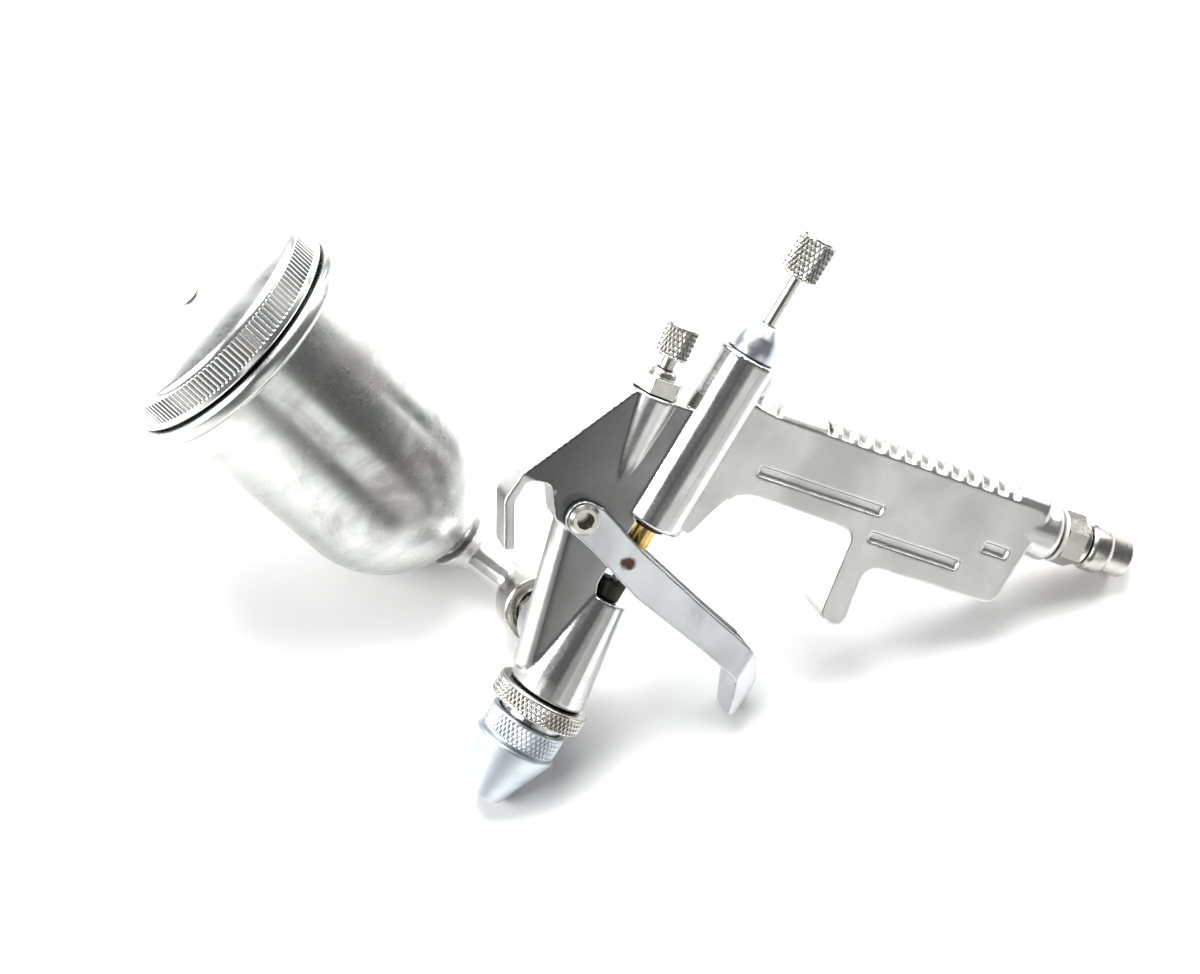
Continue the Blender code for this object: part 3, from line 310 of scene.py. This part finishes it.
def polished_metal(name, colour, stain, roughness):
    """Spun and buffed cup: hoop lines round it, a cloudy smudge on its side, a clean lid."""
    n = Nodes(name)
    station = n.along(CUP_UP, gun_point(*CUP_BOTTOM))
    line = n.line(station)
    hoops = n.noise(1500.0, detail=3.0, vector=line)
    bands = n.noise(170.0, detail=3.0, vector=line)
    cloud = n.noise(36.0, detail=6.0, roughness=0.62, distortion=1.2)
    fog = n.noise(14.0, detail=4.0, distortion=0.5)
    speck = n.noise(700.0, detail=3.0)
    below_lid = n.stretch(station, 82 * MM, 76 * MM, 0.15, 1.0)
    worn = n.plus(n.from_point(SMUDGE_AT), n.stretch(cloud, 0.3, 0.7, 11 * MM, -11 * MM))
    handled = n.stretch(worn, 30 * MM, 9 * MM, 0.12, 0.70, smooth=True)
    smudge = n.times(n.stretch(cloud, 0.40, 0.66, 0.25, 0.95, smooth=True), handled)
    smudge = n.times(smudge, below_lid)
    base = n.mix(smudge, colour, stain)
    fogged = n.times(n.stretch(fog, 0.45, 0.75, 0.0, 0.40, smooth=True), below_lid)
    base = n.mix(fogged, base, CUP_FOG)
    base = n.mix(n.times(n.stretch(bands, 0.4, 0.7, 0.0, 0.2), below_lid), base, stain)
    base = n.mix(n.stretch(station, LID_FROM, LID_FROM + 3 * MM, 0.0, 0.85), base, CLEAN_LID)
    # painted shade: occlusion darkens the cup's corners
    base = n.mix(n.times(n.crevice(1.2 * MM), 0.7), base, CUP_CORNER_SHADE)
    rough = n.stretch(cloud, 0.35, 0.7, roughness, roughness + 0.14)
    rough = n.plus(rough, n.stretch(speck, 0.3, 0.7, -0.01, 0.03))
    rough = n.plus(rough, n.stretch(bands, 0.4, 0.7, 0.0, 0.05), clamp=True)
    bumped = n.bump(hoops, 0.22, 0.03 * MM, n.bump(n.noise(55.0, detail=2.0), 0.12, 0.4 * MM))
    return n.finish(base, rough, bumped)


def sheet_metal(name, colour, stain, roughness):
    """Pressed sheet: drawn lines down the lever, rubbed spots and one brown stain by the pivot."""
    n = Nodes(name)
    drawn = n.noise(900.0, detail=3.0, vector=n.line(n.along(BARREL), n.along(SIDE)))
    cloud = n.noise(60.0, detail=5.0, distortion=1.0)
    speck = n.noise(800.0, detail=3.0)
    ragged = n.stretch(n.noise(350.0, detail=4.0), 0.3, 0.7, -0.5 * MM, 0.5 * MM)
    ring = n.plus(n.from_point(STAIN_AT), ragged)
    spot = n.stretch(ring, 2.3 * MM, 1.2 * MM, 0.0, 0.95, smooth=True)
    base = n.mix(n.stretch(cloud, 0.42, 0.72, 0.0, 0.4, smooth=True), colour, stain)
    base = n.mix(spot, base, BROWN_STAIN)
    # painted shade: occlusion darkens the trigger's corners
    base = n.mix(n.times(n.crevice(1.2 * MM), 0.55), base, TRIGGER_CORNER_SHADE)
    rough = n.stretch(cloud, 0.3, 0.75, roughness - 0.04, roughness + 0.10)
    rough = n.plus(rough, n.times(spot, 0.3), clamp=True)
    bumped = n.bump(drawn, 0.15, 0.04 * MM, n.bump(speck, 0.12, 0.04 * MM))
    return n.finish(base, rough, bumped)


def soft_material(name, colour, shade, roughness):
    """Sealing polymer or rubber: faint mottle and a fine skin."""
    n = Nodes(name)
    mottle = n.noise(400.0, detail=4.0)
    skin = n.noise(2200.0, detail=2.0)
    base = n.mix(n.stretch(mottle, 0.35, 0.7, 0.0, 0.6), colour, shade)
    # painted shade: occlusion darkens the corners of the seal and rubber
    base = n.mix(n.times(n.crevice(1.0 * MM), 0.5), base, tuple(c * 0.3 for c in shade))
    rough = n.stretch(mottle, 0.3, 0.7, roughness - 0.06, roughness + 0.08)
    return n.finish(base, rough, n.bump(skin, 0.3, 0.03 * MM), metallic=0.0)


CAST = cast_metal("cast_aluminium_finish", (0.70, 0.70, 0.695), (0.46, 0.46, 0.45), 0.33)
POLISHED = polished_metal("polished_aluminium_finish", (0.66, 0.675, 0.665), (0.22, 0.20, 0.17), 0.18)
NICKEL = turned_metal("nickel_plate_finish", (0.60, 0.585, 0.55), (0.30, 0.28, 0.24), 0.22)
SATIN = turned_metal("satin_plate_finish", (0.62, 0.67, 0.71), (0.42, 0.47, 0.52), 0.36, smudge=0.5)
STEEL = turned_metal("steel_finish", (0.56, 0.56, 0.55), (0.32, 0.31, 0.30), 0.28)
BRASS = turned_metal("brass_finish", (0.80, 0.56, 0.20), (0.38, 0.22, 0.07), 0.26)
BLACK = turned_metal("black_steel_finish", (0.045, 0.045, 0.045), (0.10, 0.09, 0.08), 0.45)
SEAL = soft_material("seal_polymer_finish", (0.83, 0.81, 0.75), (0.62, 0.58, 0.50), 0.5)
RUBBER = soft_material("dark_rubber_finish", (0.030, 0.030, 0.030), (0.060, 0.058, 0.055), 0.65)
TRIGGER = sheet_metal("trigger_plate_finish", (0.62, 0.64, 0.65), (0.44, 0.45, 0.46), 0.30)

SLOT_OF = {
    CAST: "cast_aluminium",
    POLISHED: "polished_aluminium",
    NICKEL: "nickel_plate",
    SATIN: "satin_plate",
    STEEL: "steel",
    BRASS: "brass",
    BLACK: "black_steel",
    SEAL: "seal_polymer",
    RUBBER: "dark_rubber",
    TRIGGER: "trigger_plate",
}
FINISH_OF = {slot: finish for finish, slot in SLOT_OF.items()}


# ---------------------------------------------------------------- finished pieces


def body_holding(node):
    """Name of the body that a CAD node belongs to."""
    return frame["nodes"][node]["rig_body"]


def finish_piece(obj, node, finish, sharp=32.0):
    """Gives the piece its finish and puts it in the place of its CAD node."""
    obj.data.materials.clear()
    obj.data.materials.append(finish)
    obj.data.shade_smooth()
    obj.data.set_sharp_from_angle(angle=math.radians(sharp))
    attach(obj, body_holding(node))
    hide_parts(node)
    return obj


def softened(profile, radius):
    """A closed (station, radius) loop with each corner off the axis rounded by two chamfers."""
    made = []
    count = len(profile)
    for i, here in enumerate(profile):
        here = Vector(here)
        if here.y < TINY:
            made.append(here)
            continue
        before = Vector(profile[i - 1]) - here
        after = Vector(profile[(i + 1) % count]) - here
        if before.angle(after) > math.radians(165) or min(before.length, after.length) < TINY:
            made.append(here)
            continue
        reach = min(radius, before.length * 0.4, after.length * 0.4)
        start = here + before.normalized() * reach
        end = here + after.normalized() * reach
        made += [start, (start + 2 * here + end) / 4, end]
    return made


TINY = 0.001 * MM
KNURL_STEP = 0.11 * MM
KNURL_FADE = 0.25 * MM
Grip = namedtuple("Grip", "start end teeth depth slant")


def v_groove(phase):
    """0 at the bottom of a V groove, 1 on the land between two grooves."""
    return min(1.0, 2.4 * abs(phase - math.floor(phase) - 0.5))


def turned(name, node, finish, profile, at, toward, steps=96, soften=0.18 * MM, grips=(), sharp=32.0):
    """A turned piece from a closed (station, radius) loop.
    Each grip knurls the outer surface between two stations: a slant crosses the grooves into diamonds."""
    loop = softened(profile, soften)
    rows = []
    outer_r = max(p.y for p in loop)
    for i, here in enumerate(loop):
        after = loop[(i + 1) % len(loop)]
        rows.append((here, None))
        for grip in grips:
            low, high = sorted((here.x, after.x))
            inside = low < grip.end and high > grip.start and min(here.y, after.y) > outer_r * 0.86
            if inside and high - low > 0.4 * MM:
                pieces = max(2, int((high - low) / KNURL_STEP))
                for k in range(1, pieces):
                    rows.append((here.lerp(after, k / pieces), grip))
    if grips:
        steps = max(grip.teeth for grip in grips) * 6
    mesh = bmesh.new()
    grid = []
    for spot, grip in rows:
        ring = []
        for k in range(steps):
            angle = 2 * math.pi * k / steps
            radius = spot.y
            if grip and grip.start < spot.x < grip.end:
                tooth = grip.teeth * k / steps
                rise = grip.slant * (spot.x - grip.start)
                height = min(v_groove(tooth + rise), v_groove(tooth - rise))
                fade = min(1.0, (spot.x - grip.start) / KNURL_FADE, (grip.end - spot.x) / KNURL_FADE)
                radius -= grip.depth * (1 - height) * fade
            ring.append(mesh.verts.new((radius * math.cos(angle), radius * math.sin(angle), spot.x)))
        grid.append(ring)
    for i, ring in enumerate(grid):
        next_ring = grid[(i + 1) % len(grid)]
        if max(rows[i][0].y, rows[(i + 1) % len(grid)][0].y) < TINY:
            continue
        for k in range(steps):
            m = (k + 1) % steps
            mesh.faces.new((ring[k], next_ring[k], next_ring[m], ring[m]))
    bmesh.ops.remove_doubles(mesh, verts=mesh.verts, dist=0.002 * MM)
    bmesh.ops.recalc_face_normals(mesh, faces=mesh.faces)
    turn = Vector(toward).to_track_quat("Z", "Y").to_matrix().to_4x4()
    bmesh.ops.transform(mesh, matrix=GUN @ Matrix.Translation(at) @ turn, verts=mesh.verts)
    data = bpy.data.meshes.new(name)
    mesh.to_mesh(data)
    mesh.free()
    obj = bpy.data.objects.new(name, data)
    bpy.context.scene.collection.objects.link(obj)
    return finish_piece(obj, node, finish, sharp)


def welded_copy(name, node, flat_angle=None):
    """A copy of a CAD node with its corners welded and, on request, its flat faces made whole."""
    obj = bpy.data.objects.new(name, frame["nodes"][node].data.copy())
    bpy.context.scene.collection.objects.link(obj)
    mesh = bmesh.new()
    mesh.from_mesh(obj.data)
    bmesh.ops.remove_doubles(mesh, verts=mesh.verts, dist=0.005 * MM)
    if flat_angle:
        bmesh.ops.dissolve_limit(mesh, angle_limit=flat_angle, verts=mesh.verts, edges=mesh.edges)
    mesh.to_mesh(obj.data)
    mesh.free()
    return obj


def recast(name, node, finish, voxel, rounds, sharp=60.0):
    """A dense copy of a CAD node whose edges and inner corners are rounded, as on a casting."""
    obj = welded_copy(name, node)
    grid = obj.modifiers.new("grid", "REMESH")
    grid.mode = "VOXEL"
    grid.voxel_size = voxel
    even = obj.modifiers.new("even", "SMOOTH")
    even.factor = 0.5
    even.iterations = rounds
    graph = bpy.context.evaluated_depsgraph_get()
    dense = bpy.data.meshes.new_from_object(obj.evaluated_get(graph))
    obj.modifiers.clear()
    obj.data = dense
    return finish_piece(obj, node, finish, sharp)


def bevelled(name, node, finish, width, sharp=30.0):
    """A copy of a CAD node with its machined edges broken."""
    obj = welded_copy(name, node, flat_angle=math.radians(1.0))
    edge = obj.modifiers.new("edge", "BEVEL")
    edge.width = width
    edge.segments = 2
    edge.limit_method = "ANGLE"
    edge.angle_limit = math.radians(25.0)
    edge.harden_normals = False
    return finish_piece(obj, node, finish, sharp)


BARREL_AXIS = ((0, 0, 0), (1, 0, 0))


def spray_head():
    """Air cap and lock ring."""
    turned(
        "air_cap_finished",
        "air_cap",
        SATIN,
        in_mm(
            (0.0, 3.7), (0.25, 4.35), (0.9, 4.6), (15.7, 10.9), (16.2, 10.8),
            (16.5, 9.8), (16.9, 9.8), (17.1, 10.3), (22.9, 10.3), (23.2, 10.0),
            (23.2, 8.7), (11.5, 8.7), (11.5, 7.4), (4.0, 4.2), (1.6, 2.1), (0.0, 2.1),
        ),
        *BARREL_AXIS,
        grips=[Grip(17.3 * MM, 22.7 * MM, 52, 0.34 * MM, 420.0)],
        sharp=40.0,
    )
    turned(
        "lock_ring_finished",
        "lock_ring",
        NICKEL,
        in_mm((25.4, 12.0), (25.8, 12.4), (30.4, 12.4), (30.8, 12.0), (30.8, 8.7), (25.4, 8.7)),
        *BARREL_AXIS,
        grips=[Grip(26.0 * MM, 30.2 * MM, 60, 0.38 * MM, 420.0)],
        sharp=40.0,
    )


def controls():
    """The two knurled knobs and the cap of the rear housing."""
    turned(
        "fluid_knob_finished",
        "fluid_knob",
        NICKEL,
        in_mm(
            (118.4, 0), (118.4, 1.5), (118.8, 1.8), (152.9, 1.8), (152.9, 4.5),
            (153.3, 4.9), (163.8, 4.9), (164.2, 4.5), (164.2, 0),
        ),
        *BARREL_AXIS,
        grips=[Grip(153.6 * MM, 163.5 * MM, 26, 0.42 * MM, 360.0)],
        sharp=40.0,
    )
    turned(
        "air_control_knob_finished",
        "air_control_knob",
        NICKEL,
        in_mm(
            (-13.5, 0), (-11.5, 1.2), (-7.6, 1.2), (-7.0, 2.0), (9.6, 2.0), (9.6, 3.8),
            (10.0, 4.2), (17.8, 4.2), (18.2, 3.8), (18.2, 0),
        ),
        AIR_FACE,
        AIR_REAR,
        grips=[Grip(10.1 * MM, 17.7 * MM, 24, 0.40 * MM, 380.0)],
        sharp=40.0,
    )
    turned(
        "rear_guide_finished",
        "rear_guide",
        SATIN,
        in_mm(
            (120.0, 3.4), (128.0, 3.4), (128.0, 5.5), (130.9, 5.5), (130.9, 6.3),
            (133.6, 6.1), (136.2, 5.2), (138.4, 3.6), (139.4, 2.5), (139.4, 2.1),
            (120.0, 2.1),
        ),
        *BARREL_AXIS,
        sharp=40.0,
    )


def cup_and_lid():
    """The spun cup, from its round bottom to its mouth, and the knurled lid."""
    bowl_r = 26.4 * MM
    inside_r = bowl_r - 1.0 * MM
    hole = 5.0 * MM
    arc = 18
    outer = []
    for i in range(arc + 1):
        angle = math.asin(hole / bowl_r) * (1 - i / arc) + math.pi / 2 * i / arc
        outer.append((bowl_r * (1 - math.cos(angle)), bowl_r * math.sin(angle)))
    outer += in_mm(
        (75.9, 27.8), (77.1, 29.0), (77.5, 33.0), (78.5, 34.0), (81.0, 34.0),
        (82.0, 33.0), (82.0, 29.3), (89.5, 29.3), (89.5, 26.8), (77.5, 26.8),
    )
    for i in range(arc + 1):
        angle = math.asin(hole / inside_r) * i / arc + math.pi / 2 * (1 - i / arc)
        outer.append((bowl_r - inside_r * math.cos(angle), inside_r * math.sin(angle)))
    turned("cup_body_finished", "cup_body", POLISHED, outer, CUP_BOTTOM, CUP_TOWARD, steps=160, soften=0.5 * MM)
    turned(
        "cup_lid_finished",
        "cup_lid",
        POLISHED,
        in_mm(
            (82.7, 31.7), (83.2, 32.2), (91.6, 32.2), (92.8, 31.2), (95.2, 23.2),
            (96.0, 12.2), (96.0, 1.7), (94.2, 1.7), (93.8, 12.2), (91.1, 26.2),
            (91.1, 29.6), (82.7, 29.6),
        ),
        CUP_BOTTOM,
        CUP_TOWARD,
        soften=0.6 * MM,
        grips=[Grip(84.6 * MM, 91.2 * MM, 150, 0.40 * MM, 0.0)],
        sharp=40.0,
    )


def unions():
    """Union nut of the cup and plug of the air hose."""
    side_axis = ((INLET_X, 0, INLET_Z), (0, 1, 0))
    turned(
        "union_nut_finished",
        "union_nut",
        NICKEL,
        in_mm(
            (18.2, 8.9), (18.8, 9.6), (26.0, 10.0), (29.4, 9.2), (30.6, 7.2),
            (30.6, 5.0), (28.6, 5.0), (28.6, 6.5), (18.2, 6.5),
        ),
        *side_axis,
        sharp=40.0,
    )
    turned(
        "inlet_plug_finished",
        "inlet_plug",
        NICKEL,
        in_mm(
            (15.0, 3.6), (20.9, 3.6), (20.9, 5.6), (21.9, 6.4), (26.0, 6.4),
            (27.0, 5.7), (33.0, 5.5), (33.6, 5.0), (33.6, 2.4), (15.0, 2.4),
        ),
        INLET_TOP,
        INLET_DOWN,
        soften=0.3 * MM,
        sharp=40.0,
    )


recast("gun_body_cast", "gun_body", CAST, 0.40 * MM, 5)
recast("cup_neck_cast", "cup_neck", CAST, 0.40 * MM, 6)
recast("trigger_pressed", "trigger", TRIGGER, 0.30 * MM, 4)
spray_head()
controls()
cup_and_lid()
unions()
for node, finish in (
    ("air_control_bush", NICKEL),
    ("inlet_adapter", NICKEL),
    ("fluid_stud", NICKEL),
    ("pivot_nut", NICKEL),
    ("pivot_screw", NICKEL),
    ("packing_screw", BLACK),
    ("air_valve_stem", BRASS),
    ("air_valve_gland", BLACK),
):
    bevelled(node + "_finished", node, finish, 0.22 * MM)

slot_by_node = {part["node"]: part["material_slot"] for part in frame["record"]["subparts"]}
for node, obj in frame["nodes"].items():
    obj.data.materials.clear()
    obj.data.materials.append(FINISH_OF[slot_by_node[node]])
    obj.data.shade_smooth()
    obj.data.set_sharp_from_angle(angle=math.radians(35.0))


# ---------------------------------------------------------------- floor, light and camera

FLOOR_HALF = 2.0
CAMERA_AT = (-0.1395, -0.3454, 0.8196)
CAMERA_TURN = tuple(math.radians(angle) for angle in (24.27, -0.04, -21.41))
CAMERA_VIEW = math.radians(20.0)
WORLD_STRENGTH = 0.14
MIDDLE = (0, 0, 0.03)


def floor():
    """White paper under the gun."""
    mesh = bpy.data.meshes.new("floor")
    corners = [(x * FLOOR_HALF, y * FLOOR_HALF, 0) for x, y in ((-1, -1), (1, -1), (1, 1), (-1, 1))]
    mesh.from_pydata(corners, [], [(0, 1, 2, 3)])
    obj = bpy.data.objects.new("floor", mesh)
    bpy.context.scene.collection.objects.link(obj)
    n = Nodes("white_paper")
    fibre = n.noise(600.0, detail=3.0)
    base = n.mix(n.stretch(n.noise(3.0), 0.3, 0.7, 0.0, 0.3), (0.93, 0.93, 0.93), (0.90, 0.90, 0.90))
    mesh.materials.append(n.finish(base, 0.7, n.bump(fibre, 0.05, 0.05 * MM), metallic=0.0))


def softbox(name, at, target, size, power):
    """A square area light that only reflections and shadows show."""
    light = bpy.data.lights.new(name, "AREA")
    light.shape = "SQUARE"
    light.size = size
    light.energy = power
    obj = bpy.data.objects.new(name, light)
    obj.location = at
    obj.rotation_euler = (Vector(target) - Vector(at)).to_track_quat("-Z", "Y").to_euler()
    obj.visible_camera = False
    bpy.context.scene.collection.objects.link(obj)


def camera():
    """Camera above the trigger side."""
    data = bpy.data.cameras.new("camera")
    data.angle = CAMERA_VIEW
    data.clip_start = 0.01
    obj = bpy.data.objects.new("camera", data)
    obj.location = CAMERA_AT
    obj.rotation_euler = CAMERA_TURN
    bpy.context.scene.collection.objects.link(obj)
    bpy.context.scene.camera = obj


floor()
softbox("top_softbox", (0.15, 0.75, 0.95), (0, 0, 0), 1.0, 32.0)
softbox("left_softbox", (-0.95, 0.1, 0.6), MIDDLE, 0.7, 13.0)
softbox("right_softbox", (0.9, 0.3, 0.5), MIDDLE, 0.45, 6.0)
softbox("front_fill", (0.14, -1.0, 0.36), MIDDLE, 0.5, 0.9)
camera()

world = bpy.data.worlds.new("studio")
world.use_nodes = True
world.node_tree.nodes["Background"].inputs["Color"].default_value = (1.0, 1.0, 1.0, 1.0)
world.node_tree.nodes["Background"].inputs["Strength"].default_value = WORLD_STRENGTH
bpy.context.scene.world = world
bpy.context.scene.view_settings.view_transform = "Standard"
